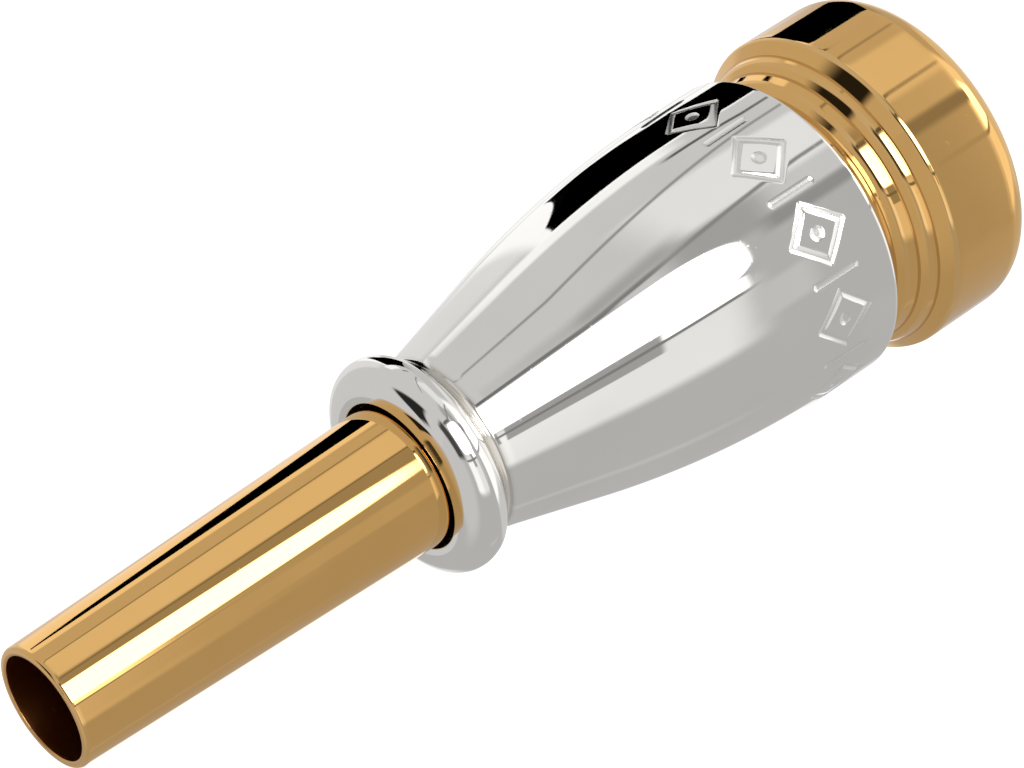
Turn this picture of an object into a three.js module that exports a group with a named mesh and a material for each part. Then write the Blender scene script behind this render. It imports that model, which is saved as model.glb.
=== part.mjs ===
// A trumpet mouthpiece with a slip-on booster sleeve. Millimetres, +Z up.
// The instrument axis is Z. The playing rim faces down and its crest lies on z = 0; the shank points up.
import * as THREE from 'three';

// Whole mouthpiece
const LENGTH = 85.5;
const SEGMENTS = 40;

// Rim
const RIM_R = 13.45;
const RIM_ROUND = 2.2;
const CREST_INNER_R = 10.35;
const BITE_R = 8.3;
const BITE_Z = 2.2;

// Behind the rim the body steps in three times, down to the seat of the sleeve. Each corner of the steps is
// a radius, a height and how far it is rounded.
const SEAT_R = 10.5;
const STEP_CORNERS = [
  [RIM_R, 8.45, 0.6],
  [12.37, 9.43, 1],
  [12.17, 10.12, 1],
  [11.47, 10.75, 1],
  [11.22, 11.63, 1],
  [SEAT_R, 12.35, 0.8],
];

// Cup, throat and backbore
const CUP_DEPTH = 9.8;
const CUP_FLOOR_R = 2.9;
const THROAT_R = 1.83;
const THROAT_TOP_Z = 22;
const BACKBORE_END_R = 4.2;
const BACKBORE_POWER = 0.85;

// Body under the sleeve, and the 1:20 shank
const SEAT_TOP_Z = 19.5;
const SEAT_LEDGE_R = 9.9;
const WAIST_Z = 42;
const SHANK_END_R = 4.85;
const SHANK_SLOPE = 0.025;
const FACE_INNER_R = 4.42;
const FACE_OUTER_R = 4.67;

// Sleeve
const SLEEVE_BASE_Z = 14;
const SLEEVE_TOP_Z = 53;
const SLEEVE_R = 12.58;
const SLEEVE_EDGE_ROUND = 0.2;
const OGIVE_START_Z = 17.1;
const OGIVE_END_Z = 39.5;
const OGIVE_R = 86.8;
const NECK_Z = 48.1;
const FLANGE_R = 8.8;
const FLANGE_ROUND = 1.85;
const SLEEVE_SEAT_R = 10.8;
const SLEEVE_SEAT_TOP_Z = 19.7;
const SLEEVE_LEDGE_R = 10.15;
const SLEEVE_BORE_R = 6;
const SLEEVE_BORE_Z = 45;
const BORE_EDGE_ROUND = 0.2;

// O-rings, and the grooves in the sleeve that hold them
const RING_CORD_R = 0.6;
const RING_SIDES = 8;
const GROOVE_PLAY = 0.1;
const LOWER_RING_Z = 17.5;
const UPPER_RING_Z = 51;
const LOWER_RING_R = SEAT_R + GROOVE_PLAY + RING_CORD_R;
const UPPER_RING_R = shankRadius(UPPER_RING_Z) + GROOVE_PLAY + RING_CORD_R;

// Points on a circle or ellipse in the profile plane, x = radius and y = height, angles in degrees.
function arc(x, y, rx, ry, fromDeg, toDeg, steps) {
  const points = [];
  for (let i = 0; i <= steps; i += 1) {
    const angle = THREE.MathUtils.degToRad(THREE.MathUtils.lerp(fromDeg, toDeg, i / steps));
    points.push([x + rx * Math.cos(angle), y + ry * Math.sin(angle)]);
  }
  return points;
}

// Points of radius(z) between two heights.
function curve(radius, fromZ, toZ, steps) {
  const points = [];
  for (let i = 0; i <= steps; i += 1) {
    const z = THREE.MathUtils.lerp(fromZ, toZ, i / steps);
    points.push([radius(z), z]);
  }
  return points;
}

// A smooth S from one radius to another between two heights.
function sCurve(fromR, toR, fromZ, toZ) {
  return (z) => THREE.MathUtils.lerp(fromR, toR, THREE.MathUtils.smoothstep(z, fromZ, toZ));
}

function shankRadius(z) {
  return SHANK_END_R + SHANK_SLOPE * (LENGTH - z);
}

// Rounds every corner between the first and the last point of a path of [radius, height, rounding].
function roundedPath(corners) {
  const path = corners.map(([r, z]) => new THREE.Vector2(r, z));
  const points = [];
  for (let i = 1; i + 1 < path.length; i += 1) {
    const toBefore = path[i - 1].clone().sub(path[i]).normalize();
    const toAfter = path[i + 1].clone().sub(path[i]).normalize();
    const reach = corners[i][2] / Math.tan(toBefore.angleTo(toAfter) / 2);
    const start = path[i].clone().addScaledVector(toBefore, reach);
    const end = path[i].clone().addScaledVector(toAfter, reach);
    points.push(...new THREE.QuadraticBezierCurve(start, path[i], end).getPoints(2).map((p) => p.toArray()));
  }
  return points;
}

function bodyOutside() {
  const waistR = shankRadius(WAIST_Z);
  return [
    ...arc(RIM_R - RIM_ROUND, RIM_ROUND, RIM_ROUND, RIM_ROUND, -90, 0, 6),
    ...roundedPath([[RIM_R, RIM_ROUND], ...STEP_CORNERS, [SEAT_R, SEAT_TOP_Z]]),
    [SEAT_R, SEAT_TOP_Z],
    ...curve(sCurve(SEAT_LEDGE_R, waistR, SEAT_TOP_Z, WAIST_Z), SEAT_TOP_Z, WAIST_Z, 8),
    [shankRadius(LENGTH - 0.2), LENGTH - 0.2],
    [FACE_OUTER_R, LENGTH],
  ];
}

// Listed from the shank end back down to the rim, so that the whole profile runs one way round.
function bodyInside() {
  const floorZ = BITE_Z + CUP_DEPTH * Math.sqrt(1 - (CUP_FLOOR_R / BITE_R) ** 2);
  const floorDeg = THREE.MathUtils.radToDeg(Math.acos(CUP_FLOOR_R / BITE_R));
  const lipR = 1.8;
  const backbore = (z) => {
    const t = (z - THROAT_TOP_Z) / (LENGTH - THROAT_TOP_Z);
    return THROAT_R + (BACKBORE_END_R - THROAT_R) * t ** BACKBORE_POWER;
  };
  return [
    [FACE_INNER_R, LENGTH],
    ...curve(backbore, LENGTH - 0.2, THROAT_TOP_Z, 6),
    ...arc(THROAT_R + lipR, floorZ + 0.91 * lipR, lipR, lipR, 180, 240, 3),
    ...arc(0, BITE_Z, BITE_R, CUP_DEPTH, floorDeg, 0, 8),
    ...arc(CREST_INNER_R, BITE_Z, CREST_INNER_R - BITE_R, BITE_Z, 180, 270, 5).slice(1),
  ];
}

function sleeveOutside() {
  const ogive = (z) => SLEEVE_R - OGIVE_R + Math.sqrt(OGIVE_R ** 2 - Math.max(0, z - OGIVE_START_Z) ** 2);
  const slope = (ogive(OGIVE_END_Z) - ogive(OGIVE_END_Z - 0.1)) / 0.1;
  const neckR = ogive(OGIVE_END_Z) + slope * (NECK_Z - OGIVE_END_Z);
  const flangeZ = SLEEVE_TOP_Z - FLANGE_ROUND;
  return [
    ...arc(SLEEVE_R - SLEEVE_EDGE_ROUND, SLEEVE_BASE_Z + SLEEVE_EDGE_ROUND,
      SLEEVE_EDGE_ROUND, SLEEVE_EDGE_ROUND, -90, 0, 2),
    ...curve(ogive, OGIVE_START_Z, OGIVE_END_Z, 8),
    [neckR, NECK_Z],
    [neckR + 0.12, NECK_Z + 0.75],
    ...arc(FLANGE_R - FLANGE_ROUND, flangeZ, FLANGE_ROUND, FLANGE_ROUND, -66, 90, 10),
  ];
}

// The step-in, bottom and step-out of one O-ring groove, from its upper edge to its lower edge.
function groove(boreR, ringR, z) {
  const half = RING_CORD_R + GROOVE_PLAY;
  const bottomR = ringR + RING_CORD_R + GROOVE_PLAY;
  return [[boreR, z + half], [bottomR, z + half], [bottomR, z - half], [boreR, z - half]];
}

function sleeveInside() {
  const bore = sCurve(SLEEVE_LEDGE_R, SLEEVE_BORE_R, SLEEVE_SEAT_TOP_Z, SLEEVE_BORE_Z);
  return [
    [SLEEVE_BORE_R + BORE_EDGE_ROUND, SLEEVE_TOP_Z],
    [SLEEVE_BORE_R, SLEEVE_TOP_Z - BORE_EDGE_ROUND],
    ...groove(SLEEVE_BORE_R, UPPER_RING_R, UPPER_RING_Z),
    ...curve(bore, SLEEVE_BORE_Z, SLEEVE_SEAT_TOP_Z, 8),
    [SLEEVE_SEAT_R, SLEEVE_SEAT_TOP_Z],
    ...groove(SLEEVE_SEAT_R, LOWER_RING_R, LOWER_RING_Z),
    [SLEEVE_SEAT_R, SLEEVE_BASE_Z],
  ];
}

// Turns a closed profile of [radius, height] points about Z.
function turned(name, profile, material) {
  const points = [...profile, profile[0]].map(([r, z]) => new THREE.Vector2(r, z));
  const geometry = new THREE.LatheGeometry(points, SEGMENTS);
  geometry.rotateX(Math.PI / 2);
  const mesh = new THREE.Mesh(geometry, material);
  mesh.name = name;
  return mesh;
}

function ring(name, ringR, z, material) {
  const section = arc(ringR, z, RING_CORD_R, RING_CORD_R, -90, 270, RING_SIDES).slice(0, -1);
  return turned(name, section, material);
}

const gold = new THREE.MeshStandardMaterial({ color: 0xd8a860, roughness: 0.12, metalness: 1 });
const silver = new THREE.MeshStandardMaterial({ color: 0xdedcd8, roughness: 0.1, metalness: 1 });
const rubber = new THREE.MeshStandardMaterial({ color: 0x161616, roughness: 0.7, metalness: 0 });

const mouthpiece = new THREE.Group();
mouthpiece.add(turned('mouthpiece_body', [...bodyOutside(), ...bodyInside()], gold));
mouthpiece.add(turned('booster_sleeve', [...sleeveOutside(), ...sleeveInside()], silver));
mouthpiece.add(ring('lower_o_ring', LOWER_RING_R, LOWER_RING_Z, rubber));
mouthpiece.add(ring('upper_o_ring', UPPER_RING_R, UPPER_RING_Z, rubber));

export default mouthpiece;
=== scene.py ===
"""Looks of a gold-plated trumpet mouthpiece that carries a silver-plated booster sleeve.

Every piece is turned about Z: the rim faces down at z = 0 and the shank points up. Profiles are written
in millimetres as (radius, height) and become metres when they are meshed.
"""
import math

import bpy
from mathutils import Matrix, Vector


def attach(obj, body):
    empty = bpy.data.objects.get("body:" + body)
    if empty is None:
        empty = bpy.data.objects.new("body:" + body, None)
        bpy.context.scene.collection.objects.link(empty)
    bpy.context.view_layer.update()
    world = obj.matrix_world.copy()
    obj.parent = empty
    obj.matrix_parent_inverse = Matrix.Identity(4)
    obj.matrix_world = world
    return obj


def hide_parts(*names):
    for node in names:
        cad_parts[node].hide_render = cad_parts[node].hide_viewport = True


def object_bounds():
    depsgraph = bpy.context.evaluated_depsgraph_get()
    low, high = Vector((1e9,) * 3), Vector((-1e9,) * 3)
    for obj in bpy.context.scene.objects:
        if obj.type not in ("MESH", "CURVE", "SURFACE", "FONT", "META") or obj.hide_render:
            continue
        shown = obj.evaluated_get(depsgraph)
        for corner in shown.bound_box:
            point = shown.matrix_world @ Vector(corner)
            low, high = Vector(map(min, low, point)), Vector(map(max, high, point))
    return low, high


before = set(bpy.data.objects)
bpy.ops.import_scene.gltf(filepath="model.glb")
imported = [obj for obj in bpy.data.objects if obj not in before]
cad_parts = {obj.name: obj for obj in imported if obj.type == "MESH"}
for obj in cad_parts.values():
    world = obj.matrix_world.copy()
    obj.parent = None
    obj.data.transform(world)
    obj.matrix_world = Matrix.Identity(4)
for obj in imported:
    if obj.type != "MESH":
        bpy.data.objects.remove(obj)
cad_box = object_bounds()

MM = 0.001
TURN = 2 * math.pi

# Whole mouthpiece
LENGTH = cad_box[1].z / MM

# Rim
RIM_R = 13.45
RIM_ROUND = 2.2
CREST_INNER_R = 10.35
BITE_R = 8.3
BITE_Z = 2.2

# Cup, throat and backbore
CUP_DEPTH = 9.8
CUP_FLOOR_R = 2.9
THROAT_R = 1.83
THROAT_LIP_R = 1.8
THROAT_TOP_Z = 22
BACKBORE_END_R = 4.2
BACKBORE_POWER = 0.85
BORE_LIMIT_R = 4.5

# Steps behind the rim, down to the seat of the sleeve. Each corner is (radius, height, rounding)
SEAT_R = 10.5
STEP_CORNERS = [
    (RIM_R, 8.45, 0.6),
    (12.37, 9.4, 0.45),
    (12.17, 10.0, 1.0),
    (11.47, 10.6, 0.45),
    (11.22, 11.52, 1.0),
    (SEAT_R, 12.27, 0.6),
]

# Body under the sleeve, and the 1:20 shank with its flat end face
SEAT_TOP_Z = 19.5
SEAT_EDGE_ROUND = 0.1
SEAT_LEDGE_R = 9.9
WAIST_Z = 42
SHANK_END_R = 4.85
SHANK_SLOPE = 0.025
FACE_R = 4.4
FACE_OUTER_ROUND = 0.3
FACE_INNER_ROUND = 0.12

# Sleeve
SLEEVE_BASE_Z = 14
SLEEVE_TOP_Z = 53
SLEEVE_R = 12.58
SLEEVE_EDGE_ROUND = 0.2
OGIVE_START_Z = 17.1
OGIVE_END_Z = 39.5
OGIVE_R = 86.8
NECK_Z = 48.55
NECK_R = 8.13
NECK_ROUND = 0.9
FLANGE_R = 8.8
FLANGE_ROUND = 1.85
SLEEVE_SEAT_R = 10.8
SLEEVE_SEAT_TOP_Z = 19.7
SLEEVE_LEDGE_R = 10.15
SLEEVE_BORE_R = 6
SLEEVE_BORE_Z = 45
BORE_EDGE_ROUND = 0.15

# O-rings in their grooves
RING_CORD_R = 0.6
GROOVE_PLAY = 0.1
LOWER_RING_Z = 17.5
UPPER_RING_Z = 51

LOWER_RING_R = SEAT_R + GROOVE_PLAY + RING_CORD_R
UPPER_RING_R = SHANK_END_R + SHANK_SLOPE * (LENGTH - UPPER_RING_Z) + GROOVE_PLAY + RING_CORD_R

# Engraved band of lozenges and bars round the sleeve. It reaches a little past its own strokes
BAND_Z = 19.45
BAND_CELLS = 11
LOZENGE_HALF_WIDTH = 2.3
LOZENGE_HALF_HEIGHT = 2.45
BAR_HALF_HEIGHT = 1.9
DOT_R = 0.28
STROKE = 0.28
CARVE_DEPTH = 0.09
BAND_REACH = LOZENGE_HALF_HEIGHT + STROKE + 0.1

# How sharply an outline turns is measured over no less than this, in millimetres
SHORTEST_TURN = 0.04

# Vertices round each piece
BODY_SEGMENTS = 256
SLEEVE_SEGMENTS = 320
RING_SEGMENTS = 128


# ---------------------------------------------------------------- camera

# The lens and its sensor, and where it stands, in millimetres, with its angles in degrees
CAMERA_LENS = 147.5
CAMERA_SENSOR = 36
CAMERA_PLACE = (1.16, -271.2, 188.6)
CAMERA_LOOK_DOWN = 28.56
CAMERA_ROLL = -123.04


def make_camera():
    """A long lens that looks along +Y and down, rolled so that the shank points to the lower left."""
    data = bpy.data.cameras.new("camera")
    data.lens = CAMERA_LENS
    data.sensor_width = CAMERA_SENSOR
    data.clip_start = 0.01
    data.clip_end = 20
    camera = bpy.data.objects.new("camera", data)
    place = Matrix.Translation(Vector(CAMERA_PLACE) * MM)
    look = Matrix.Rotation(math.pi / 2 - math.radians(CAMERA_LOOK_DOWN), 4, "X")
    camera.matrix_world = place @ look @ Matrix.Rotation(math.radians(CAMERA_ROLL), 4, "Z")
    bpy.context.scene.collection.objects.link(camera)
    bpy.context.scene.camera = camera


# ---------------------------------------------------------------- profiles

def arc(x, y, rx, ry, start, end, steps):
    """Points on an ellipse about (x, y), from one angle to another in degrees."""
    angles = [math.radians(start + (end - start) * i / steps) for i in range(steps + 1)]
    return [(x + rx * math.cos(t), y + ry * math.sin(t)) for t in angles]


def curve(radius, start, end, steps):
    """Points of radius(z) between two heights."""
    heights = [start + (end - start) * i / steps for i in range(steps + 1)]
    return [(radius(z), z) for z in heights]


def s_curve(r0, r1, z0, z1):
    """A smooth S from one radius to another between two heights."""
    def radius(z):
        t = min(1.0, max(0.0, (z - z0) / (z1 - z0)))
        return r0 + (r1 - r0) * t * t * (3 - 2 * t)
    return radius


def fillet(before, corner, after, radius, steps=8):
    """The arc that rounds a corner between two straight sides."""
    c = Vector(corner)
    u = (Vector(before) - c).normalized()
    v = (Vector(after) - c).normalized()
    half = u.angle(v) / 2
    reach = radius / math.tan(half)
    centre = c + (u + v).normalized() * radius / math.sin(half)
    first = c + u * reach - centre
    last = c + v * reach - centre
    sweep = first.angle_signed(last)
    turns = [Matrix.Rotation(-sweep * i / steps, 2) @ first for i in range(steps + 1)]
    return [tuple(centre + t) for t in turns]


def shank_radius(z):
    return SHANK_END_R + SHANK_SLOPE * (LENGTH - z)


def rounded_path(corners, steps=12):
    """Rounds each corner (radius, height, rounding) between the first and the last point of a path."""
    points = []
    for before, corner, after in zip(corners, corners[1:], corners[2:]):
        points += fillet(before[:2], corner[:2], after[:2], corner[2], steps)
    return points


def body_profile():
    """The whole mouthpiece: up the outside from the rim's crest, and back down the backbore and cup."""
    waist_r = shank_radius(WAIST_Z)
    floor_deg = math.degrees(math.acos(CUP_FLOOR_R / BITE_R))
    floor_z = BITE_Z + CUP_DEPTH * math.sin(math.radians(floor_deg))
    lip_z = floor_z + 0.91 * THROAT_LIP_R

    def backbore(z):
        t = max(0.0, (z - THROAT_TOP_Z) / (LENGTH - THROAT_TOP_Z))
        return THROAT_R + (BACKBORE_END_R - THROAT_R) * t ** BACKBORE_POWER

    step_z = STEP_CORNERS[0][1]
    below_face = LENGTH - 5.5
    outer_corner = (shank_radius(LENGTH), LENGTH)
    inner_corner = (backbore(LENGTH), LENGTH)
    middle = (FACE_R, LENGTH)
    return [
        *arc(RIM_R - RIM_ROUND, RIM_ROUND, RIM_ROUND, RIM_ROUND, -90, 0, 28),
        *curve(lambda z: RIM_R, RIM_ROUND + 0.4, step_z - 0.8, 8),
        *rounded_path([(RIM_R, RIM_ROUND), *STEP_CORNERS, (SEAT_R, SEAT_TOP_Z)]),
        *curve(lambda z: SEAT_R, 13.5, 17.5, 4),
        *fillet((SEAT_R, 16), (SEAT_R, SEAT_TOP_Z), (9, SEAT_TOP_Z), SEAT_EDGE_ROUND, 3),
        *curve(s_curve(SEAT_LEDGE_R, waist_r, SEAT_TOP_Z, WAIST_Z), SEAT_TOP_Z, WAIST_Z, 30),
        *curve(shank_radius, WAIST_Z + 1, LENGTH - 0.5, 60),
        *fillet((shank_radius(below_face), below_face), outer_corner, middle, FACE_OUTER_ROUND),
        *fillet(middle, inner_corner, (backbore(below_face), below_face), FACE_INNER_ROUND),
        *curve(backbore, LENGTH - 0.6, THROAT_TOP_Z, 40),
        *arc(THROAT_R + THROAT_LIP_R, lip_z, THROAT_LIP_R, THROAT_LIP_R, 180, 246, 12),
        *arc(0, BITE_Z, BITE_R, CUP_DEPTH, floor_deg, 0, 36)[1:],
        *arc(CREST_INNER_R, BITE_Z, CREST_INNER_R - BITE_R, BITE_Z, 180, 270, 20)[1:],
        (CREST_INNER_R + 0.3, 0),
        (RIM_R - RIM_ROUND - 0.3, 0),
    ]


def ogive(z):
    """The sleeve's outer radius: a cylinder, a long arc, and then a straight line on to the neck."""
    rise = max(0.0, min(z, OGIVE_END_Z) - OGIVE_START_Z)
    drop = math.sqrt(OGIVE_R ** 2 - rise ** 2)
    slope = rise / drop
    return SLEEVE_R - OGIVE_R + drop - slope * max(0.0, z - OGIVE_END_Z)


def groove(bore_r, ring_r, z):
    """One square O-ring groove, from its upper edge to its lower edge."""
    half = RING_CORD_R + GROOVE_PLAY
    bottom = ring_r + RING_CORD_R + GROOVE_PLAY
    return [(bore_r, z + half), (bottom, z + half), (bottom, z - half), (bore_r, z - half)]


def sleeve_outside():
    """Up the outside of the sleeve, from its rounded lower edge to the flange's face."""
    flange_z = SLEEVE_TOP_Z - FLANGE_ROUND
    return [
        *fillet((12, SLEEVE_BASE_Z), (SLEEVE_R, SLEEVE_BASE_Z), (SLEEVE_R, 20), SLEEVE_EDGE_ROUND),
        *curve(ogive, SLEEVE_BASE_Z + 0.4, BAND_Z - BAND_REACH - 0.1, 6),
        *curve(ogive, BAND_Z - BAND_REACH, BAND_Z + BAND_REACH, 48),
        *curve(ogive, BAND_Z + BAND_REACH + 0.3, NECK_Z - 0.65, 60),
        *arc(NECK_R, NECK_Z, NECK_ROUND, NECK_ROUND, 195, 140, 8),
        *arc(FLANGE_R - FLANGE_ROUND, flange_z, FLANGE_ROUND, FLANGE_ROUND, -62, 90, 48),
    ]


def sleeve_inside():
    """Down the inside of the sleeve, from the flange's face to the lower edge."""
    bore = s_curve(SLEEVE_LEDGE_R, SLEEVE_BORE_R, SLEEVE_SEAT_TOP_Z, SLEEVE_BORE_Z)
    upper_edge = (SLEEVE_BORE_R, SLEEVE_TOP_Z)
    lower_edge = (SLEEVE_SEAT_R, SLEEVE_BASE_Z)
    return [
        *fillet((7, SLEEVE_TOP_Z), upper_edge, (SLEEVE_BORE_R, 50), BORE_EDGE_ROUND, 6),
        *groove(SLEEVE_BORE_R, UPPER_RING_R, UPPER_RING_Z),
        *curve(bore, SLEEVE_BORE_Z, SLEEVE_SEAT_TOP_Z, 24),
        (SLEEVE_SEAT_R, SLEEVE_SEAT_TOP_Z),
        *groove(SLEEVE_SEAT_R, LOWER_RING_R, LOWER_RING_Z),
        *fillet((SLEEVE_SEAT_R, 16), lower_edge, (12, SLEEVE_BASE_Z), BORE_EDGE_ROUND, 4),
    ]


# ---------------------------------------------------------------- meshes

def carved(angle, z):
    """How deep the engraving is, from 0 to 1, at an angle and a height on the sleeve."""
    cell = TURN / BAND_CELLS
    x = ((angle + cell / 2) % cell - cell / 2) * SLEEVE_R
    y = z - BAND_Z
    side = cell / 2 * SLEEVE_R - abs(x)
    slant = math.hypot(1 / LOZENGE_HALF_WIDTH, 1 / LOZENGE_HALF_HEIGHT)
    lozenge = abs(abs(x) / LOZENGE_HALF_WIDTH + abs(y) / LOZENGE_HALF_HEIGHT - 1) / slant
    dot = max(0.0, math.hypot(x, y) - DOT_R)
    bar = math.hypot(side, max(0.0, abs(y) - BAR_HALF_HEIGHT))
    nearest = min(lozenge, dot, bar) / STROKE
    return max(0.0, 1 - nearest * nearest) ** 0.75


def turning(profile):
    """How sharply the outline turns at each point, in radians per mm. It is below 0 in hollows."""
    bends = []
    for i, here in enumerate(profile):
        before = Vector(here) - Vector(profile[i - 1])
        after = Vector(profile[(i + 1) % len(profile)]) - Vector(here)
        reach = max(SHORTEST_TURN, (before.length + after.length) / 2)
        bends.append(-before.angle_signed(after, 0.0) / reach)
    return bends


def join_rings(lower, upper):
    """Faces between two rings of vertices. One ring may have twice as many vertices as the other."""
    faces = []
    count = min(len(lower), len(upper))
    for k in range(count):
        m = (k + 1) % count
        low = [lower[k], lower[m]]
        high = [upper[m], upper[k]]
        if len(lower) > count:
            low = [lower[2 * k], lower[2 * k + 1], lower[2 * m]]
        if len(upper) > count:
            high = [upper[2 * m], upper[2 * k + 1], upper[2 * k]]
        faces.append(low + high)
    return faces


def turned(name, profile, segments, carve=None):
    """Turns a closed profile about Z into one smooth mesh, with its crisp corners kept sharp.

    The rows that carve reaches have twice as many vertices. Two attributes go to the material: how sharply
    the outline bends, from -1 in hollows to 1 on edges, which becomes painted shade in the hollows and
    paler wear on the edges; and carved, which is 1 at the bottom of the engraving.
    """
    verts, curvature, depths, rings = [], [], [], []
    for (r, z), bend in zip(profile, turning(profile)):
        fine = carve is not None and abs(z - BAND_Z) <= BAND_REACH and r > SLEEVE_SEAT_R + 1
        count = segments * 2 if fine else segments
        rings.append(range(len(verts), len(verts) + count))
        for k in range(count):
            t = TURN * k / count
            depth = carve(t, z) if fine else 0.0
            reach = r - depth * CARVE_DEPTH
            verts.append((reach * math.cos(t) * MM, reach * math.sin(t) * MM, z * MM))
            depths.append(depth)
            curvature.append(max(-1.0, min(1.0, bend)))
    faces = []
    for lower, upper in zip(rings, rings[1:] + rings[:1]):
        faces += join_rings(lower, upper)
    mesh = bpy.data.meshes.new(name)
    mesh.from_pydata(verts, [], faces)
    for key, values in (("curvature", curvature), ("carved", depths)):
        mesh.attributes.new(key, "FLOAT", "POINT").data.foreach_set("value", values)
    mesh.update()
    mesh.shade_smooth()
    mesh.set_sharp_from_angle(angle=math.radians(40))
    piece = bpy.data.objects.new(name, mesh)
    bpy.context.scene.collection.objects.link(piece)
    return piece


def finish_piece(piece, material, body, slot, *nodes):
    piece.data.materials.append(material)
    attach(piece, body)
    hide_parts(*nodes)


# ---------------------------------------------------------------- materials

class Nodes:
    """Short calls that add the nodes of one tree. A value is a number, a tuple or another node's socket."""

    def __init__(self, tree):
        self.tree = tree

    def put(self, socket, value):
        if isinstance(value, bpy.types.NodeSocket):
            self.tree.links.new(value, socket)
        else:
            socket.default_value = value

    def math(self, operation, a, b=0.0):
        node = self.tree.nodes.new("ShaderNodeMath")
        node.operation = operation
        self.put(node.inputs[0], a)
        self.put(node.inputs[1], b)
        return node.outputs[0]

    def remap(self, value, low, high, to_low=0.0, to_high=1.0, smooth=False):
        """Maps the range low to high onto to_low to to_high, and holds it there."""
        node = self.tree.nodes.new("ShaderNodeMapRange")
        if smooth:
            node.interpolation_type = "SMOOTHSTEP"
        for socket, number in zip(node.inputs, (value, low, high, to_low, to_high)):
            self.put(socket, number)
        return node.outputs["Result"]

    def noise(self, vector, scale, detail=3.0, roughness=0.5):
        node = self.tree.nodes.new("ShaderNodeTexNoise")
        self.put(node.inputs["Vector"], vector)
        node.inputs["Scale"].default_value = scale
        node.inputs["Detail"].default_value = detail
        node.inputs["Roughness"].default_value = roughness
        return node.outputs["Fac"]

    def blend(self, factor, a, b):
        node = self.tree.nodes.new("ShaderNodeMix")
        node.data_type = "RGBA"
        self.put(node.inputs["Factor"], factor)
        self.put(node.inputs["A"], a)
        self.put(node.inputs["B"], b)
        return node.outputs["Result"]

    def attribute(self, name):
        node = self.tree.nodes.new("ShaderNodeAttribute")
        node.attribute_name = name
        return node.outputs["Fac"]

    def bump(self, height, strength, distance, normal=None):
        node = self.tree.nodes.new("ShaderNodeBump")
        node.inputs["Strength"].default_value = strength
        node.inputs["Distance"].default_value = distance
        self.put(node.inputs["Height"], height)
        if normal is not None:
            self.put(node.inputs["Normal"], normal)
        return node.outputs[0]

    def lathe_space(self):
        """Object coordinates, radius, height, and a vector in which noise makes rings round Z."""
        coords = self.tree.nodes.new("ShaderNodeTexCoord").outputs["Object"]
        split = self.tree.nodes.new("ShaderNodeSeparateXYZ")
        self.put(split.inputs[0], coords)
        x, y, z = split.outputs
        squares = self.math("ADD", self.math("MULTIPLY", x, x), self.math("MULTIPLY", y, y))
        radius = self.math("SQRT", squares)
        join = self.tree.nodes.new("ShaderNodeCombineXYZ")
        for socket, value, stretch in zip(join.inputs, (x, radius, z), (0.01, 1.0, 1.0)):
            self.put(socket, self.math("MULTIPLY", value, stretch))
        return coords, radius, z, join.outputs[0]


def new_material(name):
    material = bpy.data.materials.new(name)
    material.use_nodes = True
    return material, Nodes(material.node_tree), material.node_tree.nodes["Principled BSDF"]


# Scales of the noise in the plate and in the rubber, in cycles per metre
CLOUD_SCALE = 130
BUFFING_SCALE = 9000
SCRATCH_SCALE = 2600
WAVE_SCALE = 90
GRAIN_SCALE = 5200
DUST_SCALE = 1900

# How far the tarnish colour covers the plate: as tarnish in patches and the engraving, as painted shade in
# the hollows and the bore
HOLLOW_PAINTED_SHADE = 0.8
BORE_PAINTED_SHADE = 0.9
CARVED_TARNISH = 0.1
CLOUD_TARNISH = 0.12

# Roughness added to the polish
SCRATCH_ROUGHNESS = 0.05
HOLLOW_ROUGHNESS = 0.12
CARVED_ROUGHNESS = 0.24
BORE_ROUGHNESS = 0.16


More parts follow.
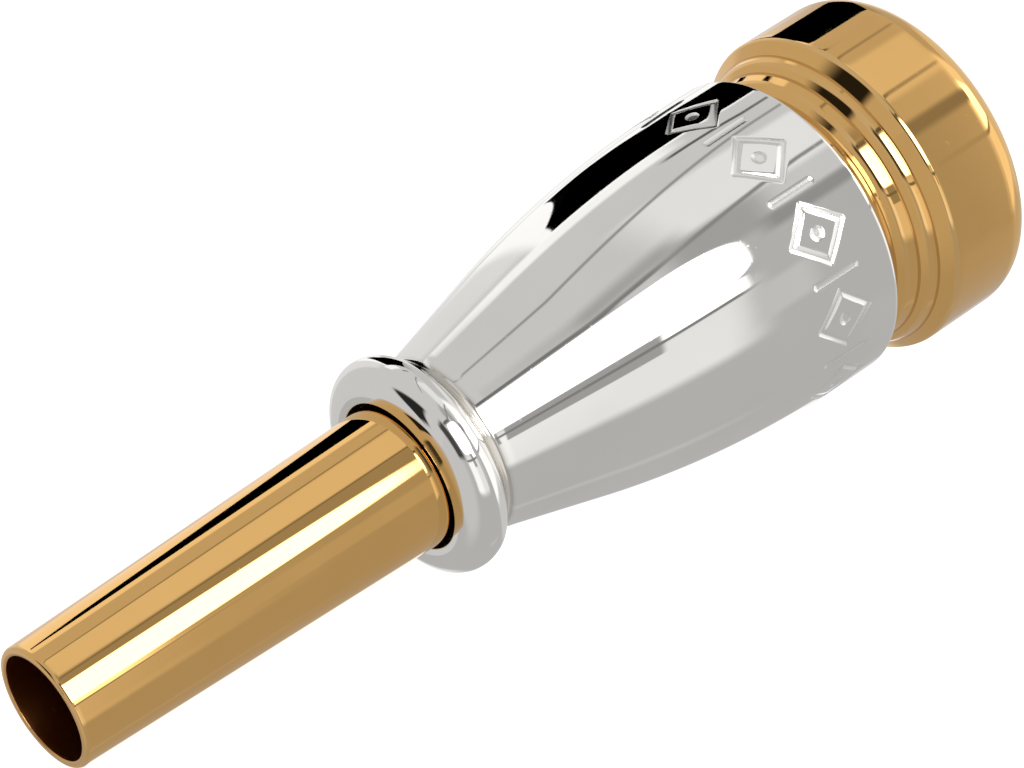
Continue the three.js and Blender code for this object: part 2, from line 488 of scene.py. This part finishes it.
def plated_metal(name, colour, worn_colour, tarnish_and_shade_colour, polish):
    """Polished plate, with soft clouds in its colour and polish and faint rings from the buffing wheel.

    It has fine scratches, tarnish in patches and in the engraving, painted shade in the hollows and
    down the bore, and slightly paler worn edges.
    """
    material, nodes, shader = new_material(name)
    place, radius, height, rings = nodes.lathe_space()
    clouds = nodes.noise(place, CLOUD_SCALE, 4, 0.6)
    buffing = nodes.noise(rings, BUFFING_SCALE, 3, 0.7)
    scratches = nodes.remap(nodes.noise(place, SCRATCH_SCALE, 2, 0.4), 0.66, 0.74)
    curvature = nodes.attribute("curvature")
    carved_depth = nodes.attribute("carved")

    edge = nodes.math("MULTIPLY", nodes.remap(curvature, 0.15, 0.9), nodes.remap(clouds, 0.35, 0.7))
    # Painted shade: the hollows of the outline are darkened towards the tarnish colour, and made rougher
    hollow = nodes.remap(curvature, -0.15, -0.9, 0, HOLLOW_PAINTED_SHADE)
    # Painted shade: the inside of the backbore is darkened towards the tarnish colour, and made rougher
    bore = nodes.remap(radius, BORE_LIMIT_R * MM, (BORE_LIMIT_R - 0.2) * MM)
    bore = nodes.math("MULTIPLY", bore, nodes.remap(height, (THROAT_TOP_Z - 5) * MM, THROAT_TOP_Z * MM))
    # Tarnish in the engraving, joined with the painted shade down the bore
    engraving_tarnish_and_bore_shade = nodes.math("MULTIPLY", carved_depth, CARVED_TARNISH)
    engraving_tarnish_and_bore_shade = nodes.math("MAXIMUM", engraving_tarnish_and_bore_shade, nodes.math("MULTIPLY", bore, BORE_PAINTED_SHADE))
    patches = nodes.remap(clouds, 0.3, 0.75, 0, CLOUD_TARNISH)
    tone = nodes.blend(patches, (*colour, 1), (*tarnish_and_shade_colour, 1))
    # Painted shade: the hollows and the bore take the tarnish colour; the engraving takes it as tarnish
    tone = nodes.blend(nodes.math("MAXIMUM", hollow, engraving_tarnish_and_bore_shade), tone, (*tarnish_and_shade_colour, 1))
    tone = nodes.blend(nodes.math("MULTIPLY", edge, 0.5), tone, (*worn_colour, 1))
    nodes.put(shader.inputs["Base Color"], tone)

    rough = nodes.remap(clouds, 0.3, 0.75, polish, polish * 2.2)
    rough = nodes.math("ADD", rough, nodes.math("MULTIPLY", scratches, SCRATCH_ROUGHNESS))
    rough = nodes.math("ADD", rough, nodes.math("MULTIPLY", hollow, HOLLOW_ROUGHNESS))
    rough = nodes.math("ADD", rough, nodes.remap(carved_depth, 0.1, 0.5, 0, CARVED_ROUGHNESS))
    rough = nodes.math("ADD", rough, nodes.math("MULTIPLY", bore, BORE_ROUGHNESS))
    nodes.put(shader.inputs["Roughness"], rough)
    shader.inputs["Metallic"].default_value = 1

    waves = nodes.bump(nodes.noise(place, WAVE_SCALE, 1, 0.4), 0.006, 0.002)
    normal = nodes.bump(buffing, 0.0015, 0.0002, waves)
    nodes.put(shader.inputs["Normal"], normal)
    return material


def rubber(name):
    """Moulded black nitrile: a fine matt grain, a few paler specks of dust, and a worn sheen."""
    material, nodes, shader = new_material(name)
    place = nodes.lathe_space()[0]
    grain = nodes.noise(place, GRAIN_SCALE, 4, 0.7)
    dust = nodes.remap(nodes.noise(place, DUST_SCALE, 3, 0.5), 0.62, 0.75)
    tone = nodes.blend(grain, (0.008, 0.008, 0.009, 1), (0.022, 0.022, 0.024, 1))
    nodes.put(shader.inputs["Base Color"], nodes.blend(dust, tone, (0.07, 0.068, 0.064, 1)))
    nodes.put(shader.inputs["Roughness"], nodes.remap(grain, 0.3, 0.7, 0.45, 0.7))
    nodes.put(shader.inputs["Normal"], nodes.bump(grain, 0.35, 0.00003))
    return material


# ---------------------------------------------------------------- stage

def direction_angles(nodes):
    """Sockets with the azimuth (degrees, 0 along +Y, 90 along +X) and elevation of a world direction."""
    coords = nodes.tree.nodes.new("ShaderNodeTexCoord")
    split = nodes.tree.nodes.new("ShaderNodeSeparateXYZ")
    nodes.put(split.inputs[0], coords.outputs["Generated"])
    degrees = 180 / math.pi
    azimuth = nodes.math("MULTIPLY", nodes.math("ARCTAN2", split.outputs["X"], split.outputs["Y"]), degrees)
    wrapped = nodes.math("FLOORED_MODULO", azimuth, 360)
    elevation = nodes.math("MULTIPLY", nodes.math("ARCSINE", split.outputs["Z"]), degrees)
    return wrapped, elevation


def panel_mask(nodes, azimuth, elevation, az, el, soft=(2, 2), lean=0.0, skew=0.0):
    """1 inside a box of directions, with soft edges.

    lean slopes the top edge along the azimuth, and skew slopes the two sides along the elevation.
    """
    def step(value, edge, width):
        return nodes.remap(value, edge - width / 2, edge + width / 2, smooth=True)

    across = azimuth
    if skew:
        across = nodes.math("SUBTRACT", azimuth, nodes.math("MULTIPLY", elevation, skew))
    level = elevation
    if lean:
        shift = nodes.math("MULTIPLY", nodes.math("SUBTRACT", azimuth, az[1]), lean)
        level = nodes.math("SUBTRACT", elevation, shift)
    left = step(across, az[0], soft[0])
    right = nodes.math("SUBTRACT", 1, step(across, az[1], soft[0]))
    bottom = step(elevation, el[0], soft[1])
    top = nodes.math("SUBTRACT", 1, step(level, el[1], soft[1]))
    return nodes.math("MULTIPLY", nodes.math("MULTIPLY", left, right), nodes.math("MULTIPLY", bottom, top))


# The studio that reflections see: a grey room, and panels that are laid over it in this order
ALL_AROUND = (-20, 380)
ROOM = 0.47
STUDIO = [
    # brightness, azimuths, elevations, softness of the sides and of the ends, lean, skew
    (0.58, ALL_AROUND, (40, 100), (4, 20), 0, 0),         # ceiling
    (0.61, (-20, 168), (-100, 100), (4, 4), 0, 0),        # brighter side of the room
    (0.82, (112, 150), (-60, -15), (6, 8), 0, 0),
    (0.76, (8, 72), (-26, 2), (12, 8), 0, 0),
    (0.80, ALL_AROUND, (-100, -38), (2, 6), 0, 0),        # table
    (0.60, (268, 350), (-62, -36), (20, 8), 0, 0),
    (0.56, (40, 134), (-62, -38), (14, 6), 0, 0),
    (1.10, (138, 262), (-70, -37), (10, 4), 0, 0),        # softbox mirrored in the table
    (3.00, (163, 200), (-68, -38), (8, 4), 0, 0),
    (0.35, (200.5, 204), (-72, -36), (2, 4), 0, 0),
    (0.80, (-20, 12), (-34, 2), (14, 12), 0, 0),          # white card behind
    (0.80, (340, 380), (-34, 2), (12, 12), 0, 0),
    (1.30, (338, 354), (-31, -20), (8, 3), 0, 0),
    (1.00, (14, 28), (-34, -24), (6, 3), 0, 0),
    (0.53, (293, 298), (-22, -4), (4, 8), 0, 0),
    (0.02, (102, 156), (43, 75), (10, 8), 0, -0.5),       # dark corners of the room, high up
    (0.10, (-20, 24), (62, 82), (10, 10), 0, 0),
    (0.06, (156, 200), (27, 48), (8, 8), 0, 0),           # photographer and camera
    (0.84, (197, 238), (-19.5, 22), (9, 8), 0, 0),        # dimmer half of the large softbox
    (2.20, (194, 203), (-19.5, -8), (1, 2), 0, 0),
    (1.05, (204, 236), (2, 24), (6, 10), 0, 0),
    (0.36, (197.5, 210.5), (-8, 2), (1, 1), 0, 0),
    (0.22, (202, 204.2), (-20, 24), (1, 4), 0, 0),
    (0.56, (206, 228), (-28, -20), (6, 4), 0, 0),
    (0.38, (150, 172), (-27, -13), (8, 6), 0, 0),         # blue-grey gap beside the softbox
    (0.30, (168, 178), (-40, -25), (6, 4), 0, 0),
    (0.30, (125, 127.2), (-36, 0), (1.8, 6), 0, 0.7),     # stand legs and seams of the backdrop
    (0.26, (161.2, 164), (-36, -8), (2, 6), 0, 0.52),
    (0.14, (160.8, 164), (-12, 0), (2, 5), 0, 0.52),
    (0.14, (159.8, 163), (-5, 24), (1.5, 4), 0, 0),
    (0.40, (151, 161.4), (-16, 0), (10, 6), 0, 0.52),
    (0.12, (89, 91.5), (-34, -25), (1, 2), 0, 0),
    (1.00, (76, 86), (-27, -8), (4, 4), 0, 0),            # bright surroundings of the flag
    (1.05, (29, 78), (-34, -13.5), (3, 2), 0.16, 0),
    (0.42, (44, 80), (-46, -39), (6, 3), 0, 0),
]

# The large softbox, in metres, stands beyond the camera. Only reflections see it
SOFTBOX_GLOW = 5.0
SOFTBOX_Y = -0.408
SOFTBOX_X = (-0.128, 0.118)
SOFTBOX_Z = (-0.134, 0.222)
SOFTBOX_ROUND = 0.085
SOFTBOX_SOFT = 0.016

# The black card, in millimetres, has a sloping top edge and a notched corner. Only reflections see it
FLAG_CORNERS = [
    (885, 220, -225),
    (765, 320, -225),
    (425, 610, -310),
    (420, 615, -350),
    (440, 595, -375),
    (480, 560, -405),
    (480, 560, -700),
    (900, 205, -700),
    (900, 205, -540),
]


def hide_from_camera(thing):
    """Leaves a surface of the studio to reflections alone."""
    thing.visible_camera = False
    thing.visible_diffuse = False
    thing.visible_shadow = False


def make_softbox():
    """One bright panel with rounded, soft edges, near enough for its glint to run along the whole shank."""
    centre = (sum(SOFTBOX_X) / 2, SOFTBOX_Y, sum(SOFTBOX_Z) / 2)
    half_width = (SOFTBOX_X[1] - SOFTBOX_X[0]) / 2
    half_height = (SOFTBOX_Z[1] - SOFTBOX_Z[0]) / 2
    corners = [(-half_width, -half_height), (half_width, -half_height),
               (half_width, half_height), (-half_width, half_height)]
    mesh = bpy.data.meshes.new("softbox")
    mesh.from_pydata([(x, 0, z) for x, z in corners], [], [(0, 1, 2, 3)])
    softbox = bpy.data.objects.new("softbox", mesh)
    softbox.location = centre
    bpy.context.scene.collection.objects.link(softbox)

    material, nodes, shader = new_material("softbox_glow")
    place = nodes.lathe_space()[0]
    split = nodes.tree.nodes.new("ShaderNodeSeparateXYZ")
    nodes.put(split.inputs[0], place)
    squares = []
    for socket, half in ((split.outputs["X"], half_width), (split.outputs["Z"], half_height)):
        beyond = nodes.math("SUBTRACT", nodes.math("ABSOLUTE", socket), half - SOFTBOX_ROUND)
        beyond = nodes.math("MAXIMUM", beyond, 0)
        squares.append(nodes.math("MULTIPLY", beyond, beyond))
    reach = nodes.math("SQRT", nodes.math("ADD", *squares))
    shown = nodes.remap(reach, SOFTBOX_ROUND, SOFTBOX_ROUND - SOFTBOX_SOFT, smooth=True)
    clear = nodes.tree.nodes.new("ShaderNodeBsdfTransparent")
    bright = nodes.tree.nodes.new("ShaderNodeEmission")
    bright.inputs["Strength"].default_value = SOFTBOX_GLOW
    mix = nodes.tree.nodes.new("ShaderNodeMixShader")
    nodes.put(mix.inputs[0], shown)
    nodes.put(mix.inputs[1], clear.outputs[0])
    nodes.put(mix.inputs[2], bright.outputs[0])
    nodes.put(nodes.tree.nodes["Material Output"].inputs["Surface"], mix.outputs[0])
    nodes.tree.nodes.remove(shader)
    mesh.materials.append(material)
    hide_from_camera(softbox)


def make_flag():
    """A black card, low and to the side: the long dark streak in the plate is its reflection."""
    mesh = bpy.data.meshes.new("flag")
    mesh.from_pydata([Vector(corner) * MM for corner in FLAG_CORNERS], [], [range(len(FLAG_CORNERS))])
    flag = bpy.data.objects.new("flag", mesh)
    bpy.context.scene.collection.objects.link(flag)
    material, _, shader = new_material("black_card")
    shader.inputs["Base Color"].default_value = (0, 0, 0, 1)
    shader.inputs["Specular IOR Level"].default_value = 0
    mesh.materials.append(material)
    hide_from_camera(flag)


def make_world():
    """Plain white for the camera, and the soft panels of the studio for reflections."""
    world = bpy.data.worlds.new("studio")
    world.use_nodes = True
    bpy.context.scene.world = world
    tree = world.node_tree
    tree.nodes.clear()
    nodes = Nodes(tree)
    azimuth, elevation = direction_angles(nodes)

    light = ROOM
    for value, az, el, soft, lean, skew in STUDIO:
        mask = panel_mask(nodes, azimuth, elevation, az, el, soft, lean, skew)
        fresh = nodes.math("MULTIPLY", mask, value)
        kept = nodes.math("MULTIPLY", nodes.math("SUBTRACT", 1, mask), light)
        light = nodes.math("ADD", fresh, kept)

    glow = tree.nodes.new("ShaderNodeBackground")
    glow.inputs["Color"].default_value = (1, 1, 1, 1)
    nodes.put(glow.inputs["Strength"], light)
    plain = tree.nodes.new("ShaderNodeBackground")
    plain.inputs["Color"].default_value = (1, 1, 1, 1)
    pick = tree.nodes.new("ShaderNodeMixShader")
    path = tree.nodes.new("ShaderNodeLightPath")
    out = tree.nodes.new("ShaderNodeOutputWorld")
    tree.links.new(path.outputs["Is Camera Ray"], pick.inputs[0])
    tree.links.new(glow.outputs[0], pick.inputs[1])
    tree.links.new(plain.outputs[0], pick.inputs[2])
    tree.links.new(pick.outputs[0], out.inputs[0])


FLOOR_SIZE = 8
FLOOR_GLOW = 0.85


def make_floor():
    """A plain pale floor under the rim. Reflections look past it to the studio."""
    bpy.ops.mesh.primitive_plane_add(size=FLOOR_SIZE)
    floor = bpy.context.object
    floor.name = "floor"
    material, _, shader = new_material("pale_floor")
    shader.inputs["Base Color"].default_value = (0.9, 0.9, 0.9, 1)
    shader.inputs["Roughness"].default_value = 0.9
    shader.inputs["Emission Color"].default_value = (1, 1, 1, 1)
    shader.inputs["Emission Strength"].default_value = FLOOR_GLOW
    floor.data.materials.append(material)
    floor.visible_glossy = False


# ---------------------------------------------------------------- the scene

make_camera()
bpy.context.scene.view_settings.view_transform = "Standard"

gold = plated_metal(
    "gold_plate",
    colour=(0.89, 0.53, 0.185),
    worn_colour=(0.94, 0.66, 0.34),
    tarnish_and_shade_colour=(0.62, 0.30, 0.08),
    polish=0.02,
)
silver = plated_metal(
    "silver_plate",
    colour=(0.93, 0.915, 0.88),
    worn_colour=(0.96, 0.95, 0.93),
    tarnish_and_shade_colour=(0.62, 0.58, 0.52),
    polish=0.02,
)
black = rubber("black_rubber")

mouthpiece = turned("mouthpiece", body_profile(), BODY_SEGMENTS)
finish_piece(mouthpiece, gold, "mouthpiece", "gold_plate", "mouthpiece_body")

sleeve = turned("sleeve", sleeve_outside() + sleeve_inside(), SLEEVE_SEGMENTS, carved)
finish_piece(sleeve, silver, "sleeve", "silver_plate", "booster_sleeve")

for node, ring_r, ring_z in (
    ("lower_o_ring", LOWER_RING_R, LOWER_RING_Z),
    ("upper_o_ring", UPPER_RING_R, UPPER_RING_Z),
):
    section = arc(ring_r, ring_z, RING_CORD_R, RING_CORD_R, -90, 255, 23)
    o_ring = turned(node + "_rubber", section, RING_SEGMENTS)
    finish_piece(o_ring, black, "ring_carrier", "black_rubber", node)

make_world()
make_softbox()
make_flag()
make_floor()
